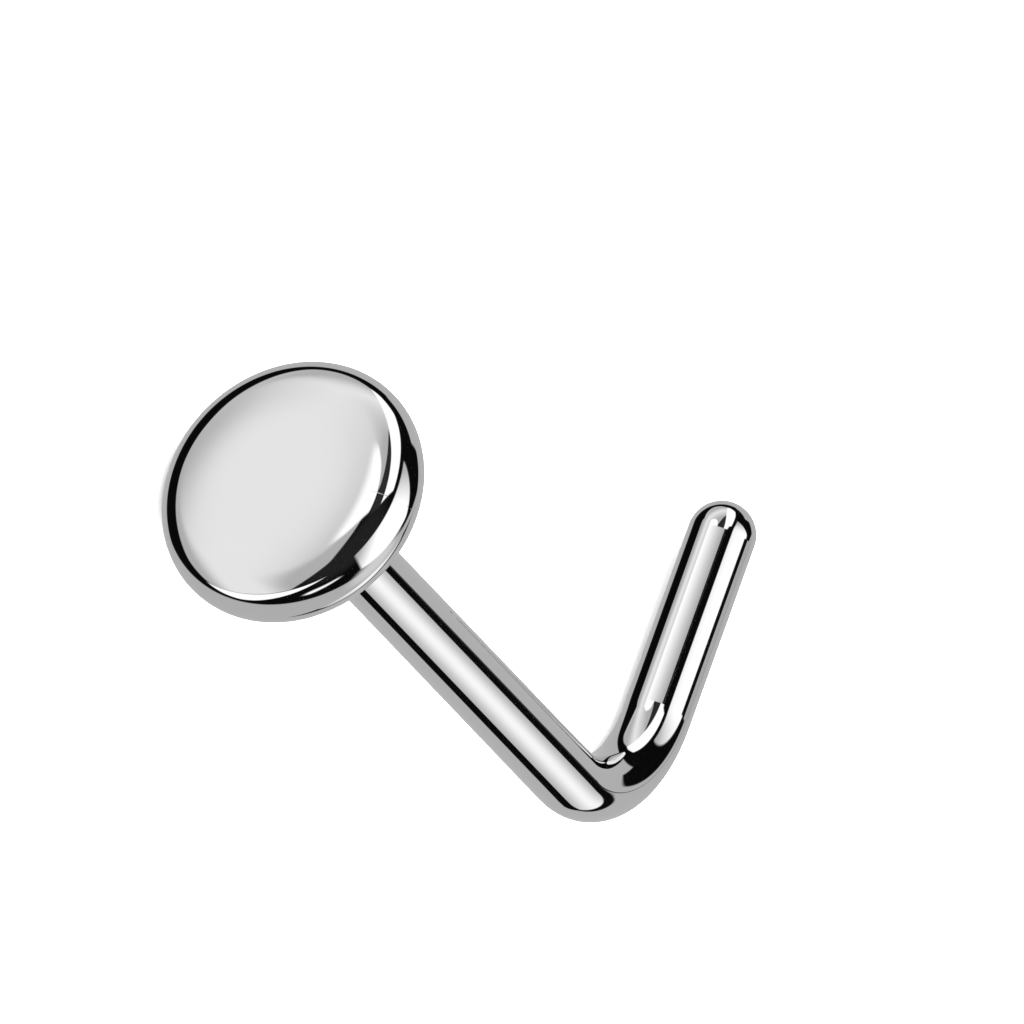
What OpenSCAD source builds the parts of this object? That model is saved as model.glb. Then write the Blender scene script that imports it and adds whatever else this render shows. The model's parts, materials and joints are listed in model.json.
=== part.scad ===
// Nose stud: a plain polished disc welded to a round wire, which is bent to an L behind it.
// It is drawn as it lies by itself on a table, on the edge of its disc and the outside of its bend.
// X runs along the post, away from the disc, Y towards the tail's tip, and Z is up.

/* [Disc head] */
// Diameter of the disc
disc_d = 3.23; // [3.1:0.01:3.6]
// Thickness of the disc
disc_t = 0.9; // [0.8:0.05:1]
// Radius of the flat middle of each face
flat_r = 0.93; // [0.7:0.01:1]
// Radius of the soft shoulder between a face and the rim
shoulder_r = 2.6; // [2:0.1:4]

/* [Wire] */
// Diameter of the wire
wire_d = 0.8; // [0.6:0.05:1]
// Length from the middle of the disc to the tail's axis
post_l = 9.15; // [6:0.05:12]
// Length from the post's axis to the end of the tail's tip
tail_l = 4.18; // [3.2:0.01:6]
// Radius of the bend, along the wire's axis
bend_r = 1.45; // [0.8:0.05:2]

/* [Weld] */
// Radius of the fillet of weld round the post's foot
weld_r = 0.1; // [0.05:0.01:0.2]

/* [As it lies] */
// Angle by which the tail's tip rides up, in degrees
tail_lift = 2.6; // [0:0.1:5]

/* [Hidden] */
$fn = 96;

disc_r = disc_d / 2;
wire_r = wire_d / 2;
tip_at = tail_l - wire_r;
post_end = post_l - bend_r;

// The rim's arc, centred in the disc's thickness, which meets both shoulders without an edge
edge_w = disc_r - flat_r;
rim_r = (shoulder_r * disc_t - disc_t * disc_t / 4 - edge_w * edge_w) / (2 * (shoulder_r - edge_w));
rim_at = disc_r - rim_r;
shoulder_end = flat_r + shoulder_r * (rim_at - flat_r) / (shoulder_r - rim_r);
shoulder_low = disc_t / 2 - shoulder_r;

// Height of the disc's centre above the table when the post slopes down by an angle
function disc_height(slope) = rim_at * cos(slope) + rim_r;

// Drop of the bend's lowest point below the point where its arc begins
function bend_drop(slope) =
    let (along = sin(slope), across = cos(slope) * sin(tail_lift))
    bend_r * (sqrt(along * along + across * across) - across);

// The slope at which the disc's rim and the outside of the bend both touch the table
function settled(slope, steps) =
    steps == 0 ? slope
               : settled(asin((disc_height(slope) - bend_drop(slope) - wire_r) / post_end), steps - 1);
slope = settled(8, 20);

// How far the part reaches from the disc's centre, along the table
shoulder_tilt = asin((shoulder_end - flat_r) / shoulder_r);
reach_front = slope > shoulder_tilt ? rim_at * sin(slope) + rim_r
                                    : flat_r * sin(slope) + shoulder_low * cos(slope) + shoulder_r;
reach_back = post_l * cos(slope) + tip_at * sin(slope) * sin(tail_lift) + wire_r;
reach_tail = tip_at * cos(tail_lift) + wire_r;

// What is polished off one side of the disc beyond a distance from its axis, down to a round
module polished_off(start, centre, radius) {
    difference() {
        translate([start, 0]) square([disc_d, disc_t]);
        translate(centre) circle(radius);
    }
}

// Half of the disc's section, from its axis out to the rim
module disc_section() {
    difference() {
        translate([0, -disc_t / 2]) square([disc_d, disc_t]);
        for (side = [0, 1]) mirror([0, side]) {
            polished_off(flat_r, [flat_r, shoulder_low], shoulder_r);
            polished_off(shoulder_end, [rim_at, 0], rim_r);
        }
    }
}

// The disc, with its axis along the post
module disc_head() {
    rotate([0, 90, 0]) rotate_extrude() disc_section();
}

// The ring of weld where the post leaves the disc's back
module weld() {
    translate([disc_t / 2, 0, 0]) rotate([0, 90, 0]) rotate_extrude() difference() {
        square([wire_r + weld_r, weld_r]);
        translate([wire_r + weld_r, weld_r]) circle(weld_r);
    }
}

// The straight wire from inside the disc to the start of the bend
module post() {
    rotate([0, 90, 0]) cylinder(r = wire_r, h = post_end);
}

// The quarter turn of the wire
module bend() {
    translate([post_end, bend_r, 0]) rotate([0, 0, -90])
        rotate_extrude(angle = 90) translate([bend_r, 0]) circle(wire_r);
}

// The straight wire after the bend, with its ball-round tip
module tail() {
    translate([post_l, bend_r, 0]) rotate([-90, 0, 0]) rotate_extrude() {
        square([wire_r, tip_at - bend_r]);
        intersection() {
            translate([0, tip_at - bend_r]) circle(wire_r);
            translate([0, tip_at - bend_r]) square(wire_d);
        }
    }
}

// The whole stud, laid down so that it touches the table with the origin under its middle
module nose_stud() {
    color("silver")
        translate([(reach_front - reach_back) / 2, (disc_r - reach_tail) / 2, disc_height(slope)])
        rotate([tail_lift, slope, 0])
        union() {
            disc_head();
            weld();
            post();
            bend();
            tail();
        }
}

nose_stud();
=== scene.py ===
import json
import math

import bmesh
import bpy
from mathutils import Euler, Matrix, Vector


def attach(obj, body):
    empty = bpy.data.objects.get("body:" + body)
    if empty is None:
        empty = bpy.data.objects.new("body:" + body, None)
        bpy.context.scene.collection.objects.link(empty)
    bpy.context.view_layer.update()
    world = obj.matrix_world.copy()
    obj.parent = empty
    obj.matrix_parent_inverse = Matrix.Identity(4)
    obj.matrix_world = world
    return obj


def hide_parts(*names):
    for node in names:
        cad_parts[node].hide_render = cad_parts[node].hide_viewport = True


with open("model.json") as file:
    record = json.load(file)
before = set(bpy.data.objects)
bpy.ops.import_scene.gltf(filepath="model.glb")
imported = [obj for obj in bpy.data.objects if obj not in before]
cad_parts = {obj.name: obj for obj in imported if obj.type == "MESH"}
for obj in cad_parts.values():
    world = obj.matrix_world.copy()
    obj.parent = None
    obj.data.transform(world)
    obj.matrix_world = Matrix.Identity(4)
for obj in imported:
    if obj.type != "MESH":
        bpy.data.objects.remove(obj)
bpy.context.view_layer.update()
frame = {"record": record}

# The disc head is one plain round of stainless steel, turned and then tumbled until its edges are
# soft and its face is a mirror. Its profile is drawn from the middle of the face, over the rim, to
# the back, where the wire is welded on. X runs along the post here, away from the face.
mm = 0.001
disc_r = 1.615 * mm
disc_t = 0.9 * mm
flat_r = 0.93 * mm
shoulder_r = 2.6 * mm
rim_steps = 48
shoulder_steps = 8

edge_w = disc_r - flat_r
rim_r = (shoulder_r * disc_t - disc_t ** 2 / 4 - edge_w ** 2) / (2 * (shoulder_r - edge_w))
rim_at = disc_r - rim_r
shoulder_turn = math.asin((rim_at - flat_r) / (shoulder_r - rim_r))
rim_turn = math.pi - 2 * shoulder_turn
sideways = (0, 0, 1)

stud = bmesh.new()


def draw_on(ends, move):
    """Draws a straight line on from the profile's end."""
    made = bmesh.ops.extrude_vert_indiv(stud, verts=ends)
    bmesh.ops.translate(stud, verts=made["verts"], vec=move)
    return made["verts"]


def swing_on(ends, centre, angle, steps):
    """Draws a round stretch on from the profile's end."""
    made = bmesh.ops.spin(
        stud, geom=ends, cent=centre, axis=sideways, angle=angle, steps=steps,
        dvec=(0, 0, 0), use_merge=False, use_duplicate=False)
    return made["geom_last"]


# Tumbling leaves the face a little higher in the middle. It falls away ever faster towards the rim,
# and meets it without an edge
face_r = rim_at + rim_r * math.sin(shoulder_turn)
face_edge = -rim_r * math.cos(shoulder_turn)
crown_power = 4
crown = face_r * math.tan(shoulder_turn) / crown_power
face_steps = 32

end = [stud.verts.new((face_edge - crown, 0, 0))]
for step in range(face_steps):
    here = step / face_steps
    there = (step + 1) / face_steps
    fall = crown * (there ** crown_power - here ** crown_power)
    end = draw_on(end, (fall, face_r * (there - here), 0))
end = swing_on(end, (0, rim_at, 0), -rim_turn, rim_steps)

# The back is flat. Rings close to the flat's edge keep the shoulder's curve from shading it
flat_steps = (0.5, 0.3, 0.12, 0.05, 0.03)
end = swing_on(end, (disc_t / 2 - shoulder_r, flat_r, 0), -shoulder_turn, shoulder_steps)

# The wire is butt-welded to the middle of the disc's back, and the weld is polished down to a small
# ring round the post's foot, with a hollow curve between the two.
wire_r = 0.4 * mm
weld_r = 0.1 * mm
foot_r = wire_r + weld_r
weld_end = disc_t / 2 + weld_r
weld_steps = 10
round_steps = 192
quarter_turn = math.pi / 2
same_place = 1e-8

for share in reversed(flat_steps):
    end = draw_on(end, (0, (foot_r - flat_r) * share, 0))
swing_on(end, (weld_end, foot_r, 0), quarter_turn, weld_steps)
bmesh.ops.spin(
    stud, geom=stud.verts[:] + stud.edges[:], cent=(0, 0, 0), axis=(1, 0, 0), angle=2 * math.pi,
    steps=round_steps, dvec=(0, 0, 0), use_merge=True, use_duplicate=False)
bmesh.ops.remove_doubles(stud, verts=stud.verts[:], dist=same_place)

# The post is straight round wire of the same steel, drawn and then polished. The piercing closes
# round it.
post_l = 9.15 * mm
bend_r = 1.45 * mm
bend_start = post_l - bend_r
straight_steps = (0.02, 0.48, 0.48, 0.02)


def pull_on(ring, move):
    """Lengthens the wire straight on from its open end."""
    made = bmesh.ops.extrude_edge_only(stud, edges=ring)["geom"]
    bmesh.ops.translate(stud, verts=[g for g in made if isinstance(g, bmesh.types.BMVert)], vec=move)
    return [g for g in made if isinstance(g, bmesh.types.BMEdge) and g.is_boundary]


open_end = [edge for edge in stud.edges if edge.is_boundary]
for share in straight_steps:
    open_end = pull_on(open_end, ((bend_start - weld_end) * share, 0, 0))

# The bend is the same wire, turned a quarter round a forming pin. It stays as round and as thick
# as the post.
bend_steps = 40

made = bmesh.ops.spin(
    stud, geom=open_end, cent=(bend_start, bend_r, 0), axis=sideways, angle=quarter_turn,
    steps=bend_steps, dvec=(0, 0, 0), use_merge=False, use_duplicate=False)
open_end = [g for g in made["geom_last"] if isinstance(g, bmesh.types.BMEdge)]

# The tail is the last straight stretch of the wire, which holds the stud in. Its end is polished to
# a half ball, so that it slides through the piercing.
tail_l = 4.18 * mm
tip_at = tail_l - wire_r
tip_steps = 24

for share in straight_steps:
    open_end = pull_on(open_end, (0, (tip_at - bend_r) * share, 0))
for step in range(tip_steps):
    here = quarter_turn * step / tip_steps
    there = quarter_turn * (step + 1) / tip_steps
    open_end = pull_on(open_end, (0, wire_r * (math.sin(there) - math.sin(here)), 0))
    narrower = math.cos(there) / math.cos(here)
    bmesh.ops.scale(
        stud, verts=list({v for edge in open_end for v in edge.verts}),
        vec=(narrower, 1, narrower), space=Matrix.Translation((-post_l, 0, 0)))
bmesh.ops.remove_doubles(stud, verts=stud.verts[:], dist=same_place)
bmesh.ops.recalc_face_normals(stud, faces=stud.faces[:])

# The stud lies by itself on the rim of its disc and the outside of its bend. The part's own mounts
# say where: one on the middle of the straight post, and the directions of the post and the tail.
mounts = {mount["name"]: mount for mount in frame["record"]["mounts"]}
along_post = Vector(mounts["piercing_post"]["axis"]).normalized()
along_tail = Vector(mounts["tail_end"]["axis"])
along_tail = (along_tail - along_post * along_tail.dot(along_post)).normalized()
across_both = along_post.cross(along_tail)
disc_centre = Vector(mounts["piercing_post"]["pos_m"]) - along_post * (weld_end + bend_start) / 2

as_it_lies = Matrix((along_post, along_tail, across_both)).transposed()
bmesh.ops.transform(
    stud, verts=stud.verts[:], matrix=Matrix.Translation(disc_centre) @ as_it_lies.to_4x4())
for face in stud.faces:
    face.smooth = True
stud_mesh = bpy.data.meshes.new("polished_stud")
stud.to_mesh(stud_mesh)
stud.free()
polished_stud = bpy.data.objects.new("polished_stud", stud_mesh)
bpy.context.scene.collection.objects.link(polished_stud)
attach(polished_stud, "root")
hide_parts("nose_stud")

# All of it is the same bare stainless steel, tumbled to a mirror. Close to, the mirror has the
# faintest haze and hairlines that tumbling leaves.
steel_grey = 0.76
grey_spread = 0.008
cool_cast = 0.004
haze_scale = 1.2 / mm
haze_detail = 3
haze_range = (0.3, 0.7)
haze_roughness = (0.011, 0.016)
hairline_scale = (0.8 / mm, 40 / mm, 40 / mm)
hairline_turns = ((0.4, 0.9, 0.3), (1.3, 0.2, 2.1), (2.2, 1.7, 0.8))
hairline_range = (0.66, 0.76)
hairline_roughness = 0.004


def worked_out(tree, operation, one, other):
    """What a Math node makes of two values."""
    node = tree.nodes.new("ShaderNodeMath")
    node.operation = operation
    tree.links.new(one, node.inputs[0])
    tree.links.new(other, node.inputs[1])
    return node.outputs["Value"]


tumbled = bpy.data.node_groups.new("tumbled_mirror", "ShaderNodeTree")
tumbled.interface.new_socket("Base Color", in_out="OUTPUT", socket_type="NodeSocketColor")
tumbled.interface.new_socket("Roughness", in_out="OUTPUT", socket_type="NodeSocketFloat")
on_steel = tumbled.nodes.new("ShaderNodeTexCoord").outputs["Object"]
worn = tumbled.nodes.new("NodeGroupOutput")
haze = tumbled.nodes.new("ShaderNodeTexNoise")
haze.inputs["Scale"].default_value = haze_scale
haze.inputs["Detail"].default_value = haze_detail
tumbled.links.new(on_steel, haze.inputs["Vector"])
tint = tumbled.nodes.new("ShaderNodeMix")
tint.data_type = "RGBA"
for socket, level in ((6, steel_grey - grey_spread), (7, steel_grey + grey_spread)):
    tint.inputs[socket].default_value = (level, level, level + cool_cast, 1)
tumbled.links.new(haze.outputs[0], tint.inputs[0])
tumbled.links.new(tint.outputs[2], worn.inputs["Base Color"])
soft = tumbled.nodes.new("ShaderNodeMapRange")
soft.inputs["From Min"].default_value = haze_range[0]
soft.inputs["From Max"].default_value = haze_range[1]
soft.inputs["To Min"].default_value = haze_roughness[0]
soft.inputs["To Max"].default_value = haze_roughness[1]
tumbled.links.new(haze.outputs[0], soft.inputs["Value"])
roughness = soft.outputs["Result"]
for turned in hairline_turns:
    stretched = tumbled.nodes.new("ShaderNodeMapping")
    stretched.inputs["Rotation"].default_value = turned
    stretched.inputs["Scale"].default_value = hairline_scale
    tumbled.links.new(on_steel, stretched.inputs["Vector"])
    lines = tumbled.nodes.new("ShaderNodeTexNoise")
    lines.inputs["Scale"].default_value = 1
    lines.inputs["Detail"].default_value = 1
    tumbled.links.new(stretched.outputs["Vector"], lines.inputs["Vector"])
    few = tumbled.nodes.new("ShaderNodeMapRange")
    few.inputs["From Min"].default_value = hairline_range[0]
    few.inputs["From Max"].default_value = hairline_range[1]
    few.inputs["To Max"].default_value = hairline_roughness
    tumbled.links.new(lines.outputs[0], few.inputs["Value"])
    roughness = worked_out(tumbled, "ADD", roughness, few.outputs["Result"])
tumbled.links.new(roughness, worn.inputs["Roughness"])

steel = bpy.data.materials.new("mirror_polished_steel")
steel.use_nodes = True
polished_stud.data.materials.append(steel)
shader = steel.node_tree.nodes["Principled BSDF"]
shader.inputs["Metallic"].default_value = 1
finish = steel.node_tree.nodes.new("ShaderNodeGroup")
finish.node_tree = tumbled
steel.node_tree.links.new(finish.outputs["Base Color"], shader.inputs["Base Color"])
steel.node_tree.links.new(finish.outputs["Roughness"], shader.inputs["Roughness"])

# The floor is a plain pale table top, painted matt and very slightly mottled. It isn't part of the
# stud, and the steel doesn't mirror it.
floor_half = 0.25
floor_greys = (0.79, 0.82)
mottle_scale = 0.4 / mm
matt = 0.9

floor_mesh = bpy.data.meshes.new("floor")
floor_bm = bmesh.new()
bmesh.ops.create_grid(floor_bm, x_segments=1, y_segments=1, size=floor_half)
floor_bm.to_mesh(floor_mesh)
floor_bm.free()
floor = bpy.data.objects.new("floor", floor_mesh)
bpy.context.scene.collection.objects.link(floor)
floor.visible_glossy = False
paint = bpy.data.materials.new("pale_floor")
paint.use_nodes = True
floor_shader = paint.node_tree.nodes["Principled BSDF"]
mottle = paint.node_tree.nodes.new("ShaderNodeTexNoise")
mottle.inputs["Scale"].default_value = mottle_scale
lying = paint.node_tree.nodes.new("ShaderNodeTexCoord")
paint.node_tree.links.new(lying.outputs["Object"], mottle.inputs["Vector"])
pale = paint.node_tree.nodes.new("ShaderNodeMix")
pale.data_type = "RGBA"
for socket, level in zip((6, 7), floor_greys):
    pale.inputs[socket].default_value = (level, level, level, 1)
paint.node_tree.links.new(mottle.outputs[0], pale.inputs[0])
paint.node_tree.links.new(pale.outputs[2], floor_shader.inputs["Base Color"])
floor_shader.inputs["Roughness"].default_value = matt
floor_mesh.materials.append(paint)

# The camera looks down on the stud with very long glass, so that nothing shrinks with distance, and
# is turned on its side. The picture's centre lies a little off the disc's.
view_azimuth = math.radians(-65.83)
view_elevation = math.radians(36.31)
view_roll = math.radians(92.54)
picture_w = 11.774 * mm
centre_right = 2.517 * mm
centre_up = -0.229 * mm
camera_away = 100 * mm

lens = (
    Euler((math.pi / 2 - view_elevation, 0, view_azimuth), "XYZ").to_matrix()
    @ Matrix.Rotation(view_roll, 3, "Z"))
camera_data = bpy.data.cameras.new("camera")
camera_data.type = "ORTHO"
camera_data.ortho_scale = picture_w
camera_data.clip_start = mm
camera = bpy.data.objects.new("camera", camera_data)
bpy.context.scene.collection.objects.link(camera)
picture_centre = disc_centre + lens @ Vector((centre_right, centre_up, 0))
camera_place = picture_centre + lens @ Vector((0, 0, camera_away))
camera.matrix_world = Matrix.Translation(camera_place) @ lens.to_4x4()
bpy.context.scene.camera = camera
bpy.context.scene.view_settings.view_transform = "Standard"

# The studio: soft boxes and white cards stand round the camera, with dark gaps between them, before
# a grey backdrop. Each place is given as degrees off the lens and degrees round it, or as degrees
# off a length of wire and degrees round that. No card has more than eight sides.
sides = 8
full_shade = 255
screen_toe = 0.055
screen_power = 2.4


def sine(angle):
    """The sine of an angle in degrees."""
    return math.sin(math.radians(angle))


def cosine(angle):
    """The cosine of an angle in degrees."""
    return math.cos(math.radians(angle))


def toward(off, clock):
    """The direction of a place in the studio."""
    return lens @ Vector((sine(off) * cosine(clock), sine(off) * sine(clock), cosine(off)))


def beside(wire, off, turn):
    """The direction of a place beside a length of wire, turned round it from the lens."""
    to_lens = toward(0, 0)
    facing = (to_lens - wire * to_lens.dot(wire)).normalized()
    spread = wire * cosine(off) + facing * sine(off)
    return Matrix.Rotation(math.radians(turn), 3, wire) @ spread


def off_lens(*places):
    """The directions of several places in the studio."""
    return [toward(*place) for place in places]


def off_wire(wire, *places):
    """The directions of several places beside a length of wire."""
    return [beside(wire, *place) for place in places]


def radiance(shade):
    """How bright a card is, for the shade of grey from 0 to 255 that the steel shows of it."""
    return ((shade / full_shade + screen_toe) / (1 + screen_toe)) ** screen_power / steel_grey


outline = bpy.data.node_groups.new("card_outline", "ShaderNodeTree")
outline.interface.new_socket("Direction", in_out="INPUT", socket_type="NodeSocketVector")
for side in range(sides):
    outline.interface.new_socket(f"Side {side + 1}", in_out="INPUT", socket_type="NodeSocketVector")
outline.interface.new_socket("Softness", in_out="INPUT", socket_type="NodeSocketFloat")
outline.interface.new_socket("Mask", in_out="OUTPUT", socket_type="NodeSocketFloat")
given = outline.nodes.new("NodeGroupInput")
result = outline.nodes.new("NodeGroupOutput")
minus = outline.nodes.new("ShaderNodeMath")
minus.operation = "MULTIPLY"
minus.inputs[1].default_value = -1
outline.links.new(given.outputs["Softness"], minus.inputs[0])
inside = None
for side in range(sides):
    height = outline.nodes.new("ShaderNodeVectorMath")
    height.operation = "DOT_PRODUCT"
    outline.links.new(given.outputs["Direction"], height.inputs[0])
    outline.links.new(given.outputs[f"Side {side + 1}"], height.inputs[1])
    edge = outline.nodes.new("ShaderNodeMapRange")
    edge.interpolation_type = "SMOOTHSTEP"
    outline.links.new(height.outputs["Value"], edge.inputs["Value"])
    outline.links.new(minus.outputs["Value"], edge.inputs["From Min"])
    outline.links.new(given.outputs["Softness"], edge.inputs["From Max"])
    if inside is None:
        inside = edge.outputs["Result"]
    else:
        inside = worked_out(outline, "MULTIPLY", inside, edge.outputs["Result"])
outline.links.new(inside, result.inputs["Mask"])

world = bpy.data.worlds.new("studio")
bpy.context.scene.world = world
world.use_nodes = True
room = world.node_tree
looking = room.nodes.new("ShaderNodeTexCoord").outputs["Generated"]


def along(direction, start, stop, low, high, smooth=True):
    """A value that runs from low to high between two heights along a direction."""
    dot = room.nodes.new("ShaderNodeVectorMath")
    dot.operation = "DOT_PRODUCT"
    dot.inputs[1].default_value = direction
    room.links.new(looking, dot.inputs[0])
    ramp = room.nodes.new("ShaderNodeMapRange")
    ramp.interpolation_type = "SMOOTHSTEP" if smooth else "LINEAR"
    ramp.inputs["From Min"].default_value = start
    ramp.inputs["From Max"].default_value = stop
    ramp.inputs["To Min"].default_value = low
    ramp.inputs["To Max"].default_value = high
    room.links.new(dot.outputs["Value"], ramp.inputs["Value"])
    return ramp.outputs["Result"]


def cover(below, mask, value):
    """Lays a value over what is below it where the mask says."""
    mix = room.nodes.new("ShaderNodeMix")
    room.links.new(mask, mix.inputs[0])
    for source, socket in ((below, mix.inputs[2]), (value, mix.inputs[3])):
        if isinstance(source, float):
            socket.default_value = source
        else:
            room.links.new(source, socket)
    return mix.outputs[0]


def least(one, other):
    """The smaller of two values."""
    return worked_out(room, "MINIMUM", one, other)


def patch(middle, radius, softness):
    """A round patch of the studio."""
    return along(middle, cosine(radius + softness), cosine(radius - softness), 0, 1)


def card(corners, softness):
    """A card with straight sides between its corners, of which it has eight at most."""
    middle = sum(corners, Vector()).normalized()
    shape = room.nodes.new("ShaderNodeGroup")
    shape.node_tree = outline
    room.links.new(looking, shape.inputs["Direction"])
    for side in range(sides):
        inward = middle
        if side < len(corners):
            inward = corners[side].cross(corners[(side + 1) % len(corners)]).normalized()
            if inward.dot(middle) < 0:
                inward = -inward
        shape.inputs[f"Side {side + 1}"].default_value = inward
    shape.inputs["Softness"].default_value = math.radians(softness)
    return shape.outputs["Mask"]


def fade(start, stop, low, high):
    """A shade that runs evenly from low to high between two places of the studio."""
    way = (stop - start).normalized()
    return along(way, start.dot(way), stop.dot(way), radiance(low), radiance(high), False)


def past(one, other, way, start, stop, smooth=False):
    """A mask that grows from 0 to 1 between two distances past the line through two places."""
    normal = one.cross(other).normalized()
    if normal.dot(way) < 0:
        normal = -normal
    return along(normal, sine(start), sine(stop), 0, 1, smooth)


def overlap(*masks):
    """Where all of several masks are."""
    shared = masks[0]
    for mask in masks[1:]:
        shared = worked_out(room, "MULTIPLY", shared, mask)
    return shared


def arc(wire, first, last):
    """A thin arc of the studio that straight wire alone mirrors, between two turns round the wire."""
    off = math.degrees(math.acos(-wire.dot(toward(0, 0))))
    narrow = cosine(off - arc_half - arc_soft)
    wide = cosine(off - arc_half + arc_soft)
    edge = sine(arc_end_soft)
    return overlap(
        patch(wire, off + arc_half, arc_soft),
        along(wire, wide, narrow, 1, 0),
        along(beside(wire, 90, first + 90), -edge, edge, 0, 1),
        along(beside(wire, 90, last - 90), -edge, edge, 0, 1))


arc_half = 0.12
arc_soft = 0.06
arc_end_soft = 0.5
crisp = 1
gentle = 1.5
blurred = 12
grey = radiance(172)
black = radiance(9)
white = radiance(full_shade)

# The black surround of the lights ends at the backdrop, which comes furthest in at the top right.
# A pale glow lies on the surround at the lower right, and round the lens it is a little less black
surround_r = 112
backdrop_corner = off_lens((120, 62), (108, 34), (126, 19), (152, 23), (166, 53))
backdrop = (toward(175.5, -45), 58.5, 1.2)
pale_glow = (toward(85, -39), 16, blurred)
round_lens = (toward(0, 0), 30, blurred)
light = cover(grey, patch(toward(44, 95), surround_r, gentle), black)
light = cover(light, card(backdrop_corner, gentle), grey)
light = cover(light, patch(*backdrop), grey)
light = cover(light, patch(*pale_glow), radiance(205))
light = cover(light, patch(*round_lens), radiance(32))

# Two big soft boxes meet at the upper left, with no seam in their light. They are brightest along
# two lines that cross there, and dim again close to the rims that they turn to the surround
box_bright = radiance(228)
box_dim = radiance(174)
top_rim_shade = radiance(188)
slow_fade = 22
quick_fade = 18
rim_from = 2
left_rim_to = 14.2
top_rim_to = 10.3
seam_half = 6

middle = toward(20, 90)
crossing = toward(72, 134)
bright = (toward(72, 135), toward(68, -177))
bright_too = (toward(98, 96), crossing)
rightward = least(past(*bright, middle, 0, slow_fade), past(*bright_too, middle, 0, quick_fade, True))
box = cover(box_bright, rightward, box_dim)
box = cover(box, past(*bright, -middle, 0, quick_fade, True), box_dim)
left_rim = (toward(88, 136), toward(94, 167))
top_rim = (toward(87, 136), toward(108, 119))
left_shade = cover(grey, past(*left_rim, crossing, rim_from, left_rim_to, True), box)
top_shade = cover(top_rim_shade, past(*top_rim, crossing, rim_from, top_rim_to, True), box)
seam = past(toward(87, 136), toward(43, 102), toward(98, 96), -seam_half, seam_half, True)
both_shades = cover(left_shade, seam, top_shade)
left_box = off_lens(
    (85.8, 125), (91, 146), (94, 167), (95, 178), (89, -162), (41, -139), (20, 162), (56, 113))
top_box = off_lens(
    (87, 136), (98, 126), (106, 117), (112, 106), (112, 92), (107, 79), (75, 75), (43, 102))

# White cards, a dark wedge and a box on the right, which is brightest in its middle, overlap them
glow = off_lens(
    (65.7, 124.1), (59.4, 134.5), (53.5, 133.5), (41, 121), (36, 110), (43, 105), (55, 107), (62, 113))
strip = off_lens((107, 79), (107, 73), (100, 60), (84, 54), (57, 47), (45, 43), (31, 73))
wedge = off_lens((73, 79), (59, 86), (49, 94), (41, 103), (31, 105), (29, 73), (62, 76))
right_box = off_lens(
    (73, 41), (75, 38), (95, -6), (96, -12), (89, -23), (77, -34), (68, -49), (17, -45))
right_shade = least(
    fade(toward(69, 35.5), toward(59, 15), 178, full_shade),
    fade(toward(23, -38), toward(35, -13), 180, full_shade))
low_card = off_lens((92, -163), (25, -108), (42, -121), (59, -130), (72, -136), (81, -142), (88, -152))
small_card = off_lens((54, -106), (47, -102), (41, -74), (44, -69), (47, -80), (55, -98))
small_card_soft = 2.5

for corners, softness, shade in (
        (left_box, gentle, both_shades),
        (top_box, gentle, both_shades),
        (glow, gentle, white),
        (strip, crisp, white),
        (wedge, gentle, radiance(42)),
        (right_box, gentle, right_shade),
        (low_card, crisp, white),
        (small_card, small_card_soft, white)):
    light = cover(light, card(corners, softness), shade)

# Narrow cards stand where straight wire alone mirrors them. Beside the tail there is a box that fades
# into a gap, and past the big boxes a second gap with a grey card behind it. Each is given by the
# turns round the wire between which it stands
tail_box = (-46, 2.3)
tail_gap = (2.3, 24.5)
far_gap = (81, 97)
far_card = (97, 128)
dimmest_turn = 1
tail_shade = along(
    beside(along_tail, 90, tail_box[0] + 90), 0, sine(dimmest_turn - tail_box[0]),
    radiance(253), radiance(166), False)
for turns, shade in (
        (tail_box, tail_shade), (tail_gap, black), (far_gap, black), (far_card, radiance(165))):
    light = cover(light, arc(along_tail, *turns), shade)

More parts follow.
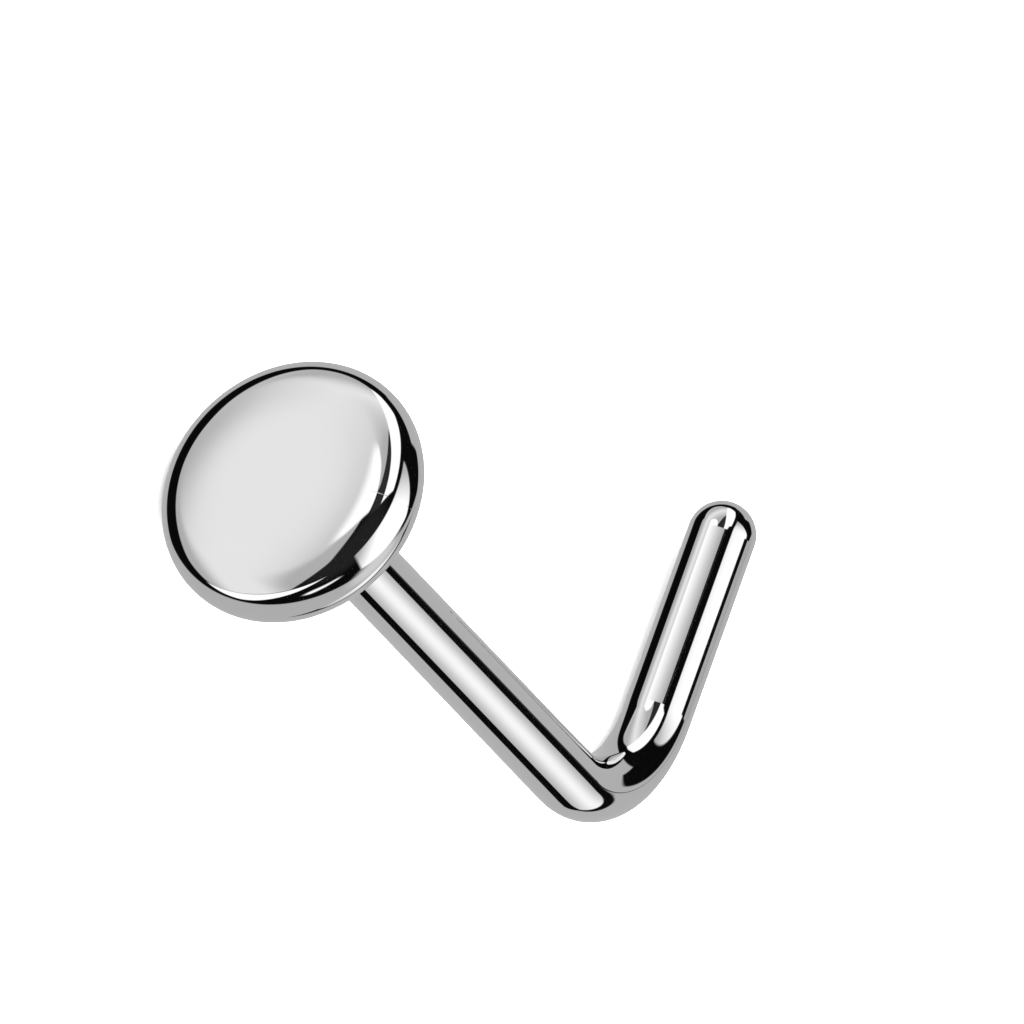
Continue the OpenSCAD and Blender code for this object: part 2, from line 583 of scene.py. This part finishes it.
# Below the post there is one box, brightest along its middle, with a gap on each side of it
hair = 0.1
narrow_soft = 0.6
gap_r = 36.2
post_box_r = 36.25
post_box_bright = radiance(247)
post_box_sides = ((-0.54, radiance(173)), (0.48, radiance(178)))

gap = off_wire(along_post, (0.5, 5), (60, -70), (60, 5), (60, 80))
below_post = off_wire(
    along_post,
    (36, -69.5), (35.3, -60), (31, -51.5), (28, 60), (36, 79.6), (60, 130), (60, 180), (60, -130))
post_box = off_wire(along_post, (27.5, 50), (32, -39.5), (39, -43.5), (60, -40), (60, 50), (39, 54.5))
across = beside(along_post, 90, -86.6)
one_side, other_side = post_box_sides
post_shade = least(
    along(across, one_side[0], 0, one_side[1], post_box_bright),
    along(across, 0, other_side[0], post_box_bright, other_side[1]))
for mask, shade in (
        (overlap(patch(along_post, gap_r, hair), card(gap, narrow_soft)), black),
        (card(below_post, narrow_soft), grey),
        (overlap(patch(along_post, post_box_r, hair), card(post_box, narrow_soft)), post_shade)):
    light = cover(light, mask, shade)

# Only what the steel mirrors is lit so. The floor gets plain light from all round
plain_light = 4.5

studio = room.nodes["Background"]
room.links.new(light, studio.inputs["Color"])
plain = room.nodes.new("ShaderNodeBackground")
plain.inputs["Color"].default_value = (1, 1, 1, 1)
plain.inputs["Strength"].default_value = plain_light
ray = room.nodes.new("ShaderNodeLightPath")
either = room.nodes.new("ShaderNodeMixShader")
room.links.new(ray.outputs["Is Glossy Ray"], either.inputs[0])
room.links.new(plain.outputs["Background"], either.inputs[1])
room.links.new(studio.outputs["Background"], either.inputs[2])
room.links.new(either.outputs["Shader"], room.nodes["World Output"].inputs["Surface"])

# A broad soft lamp overhead lights the floor alone, and the steel doesn't mirror it
lamp_strength = 1.2
lamp_breadth = math.radians(120)

lamp_data = bpy.data.lights.new("overhead", "SUN")
lamp_data.energy = lamp_strength
lamp_data.angle = lamp_breadth
lamp = bpy.data.objects.new("overhead", lamp_data)
bpy.context.scene.collection.objects.link(lamp)
lamp.visible_glossy = False
